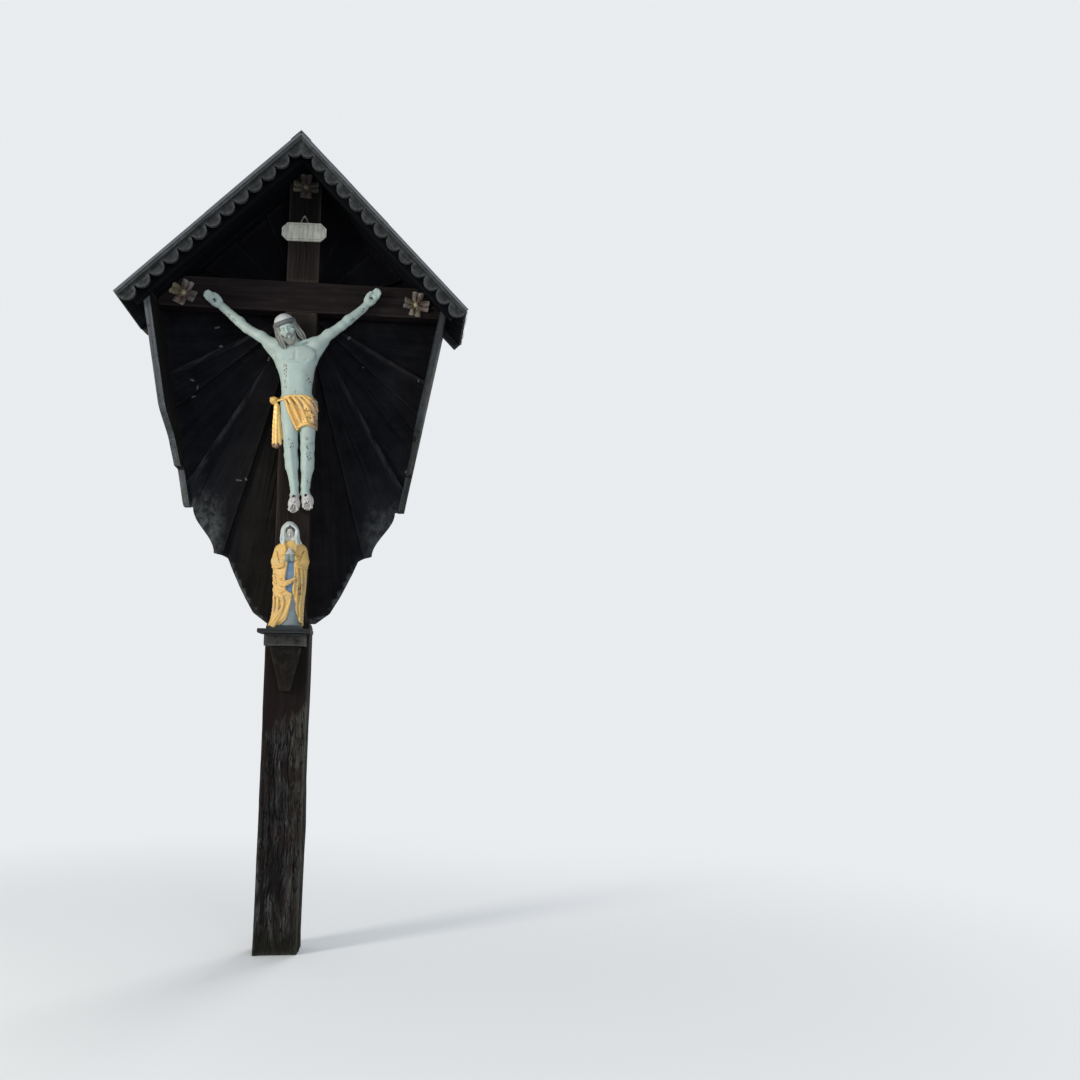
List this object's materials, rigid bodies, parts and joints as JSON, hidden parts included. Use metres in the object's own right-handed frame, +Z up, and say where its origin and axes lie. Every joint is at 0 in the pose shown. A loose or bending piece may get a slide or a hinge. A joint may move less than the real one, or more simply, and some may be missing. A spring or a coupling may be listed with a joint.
{
  "type": "wayside shrine",
  "caption": "Roofed wooden wayside cross on a post, with a fan of back boards, leaning side boards, a carved figure and a small statue on a bracket.",
  "frame": {"origin": "middle of the post's foot, at ground level", "axes": "+Z up along the post, -Y the shrine's front, +X to the right of someone facing it"},
  "size_m": [1.644, 0.521, 3.8927],
  "materials": {
    "post_wood": "rough, grey weathered",
    "beam_wood": "stained brown, matt",
    "back_wood": "stained near black, matt",
    "side_wood": "stained dark with grey weathered edges",
    "roof_wood": "dark stained",
    "roof_metal": "weathered sheet, satin",
    "verge_wood": "grey weathered",
    "title_paint": "painted white",
    "rosette_paint": "worn gilding",
    "figure_paint": "worn pale paint",
    "gilding": "gilded, satin",
    "nail_iron": "dark iron",
    "statue_paint": "painted and gilded",
    "plinth_paint": "painted grey",
    "console_wood": "weathered, matt"
  },
  "bodies": {
    "root": {"post": "post_wood", "crossbeam": "beam_wood", "back_board_left_1": "back_wood", "back_board_left_2": "back_wood", "back_board_left_3": "back_wood", "back_board_left_4": "back_wood", "back_board_left_5": "back_wood", "back_board_right_1": "back_wood", "back_board_right_2": "back_wood", "back_board_right_3": "back_wood", "back_board_right_4": "back_wood", "back_board_right_5": "back_wood", "gable_board_left_1": "back_wood", "gable_board_left_2": "back_wood", "gable_board_left_3": "back_wood", "gable_board_right_1": "back_wood", "gable_board_right_2": "back_wood", "gable_board_right_3": "back_wood", "back_batten": "back_wood", "side_board_left": "side_wood", "side_board_right": "side_wood", "rafter_left": "roof_wood", "rafter_right": "roof_wood", "roof_boards_left": "roof_wood", "roof_boards_right": "roof_wood", "roof_sheet_left": "roof_metal", "roof_sheet_right": "roof_metal", "ridge_cap": "roof_metal", "verge_board_left": "verge_wood", "verge_board_right": "verge_wood", "verge_strip_left": "verge_wood", "verge_strip_right": "verge_wood", "rear_verge_left": "verge_wood", "rear_verge_right": "verge_wood", "title_plate": "title_paint", "rosette_top": "rosette_paint", "rosette_left": "rosette_paint", "rosette_right": "rosette_paint", "corpus_torso": "figure_paint", "loincloth": "gilding", "corpus_legs": "figure_paint", "nails": "nail_iron", "statue": "statue_paint", "statue_plinth": "plinth_paint", "console_shelf": "console_wood", "console_block": "console_wood", "corbel": "console_wood"}
  },
  "joints": []
}
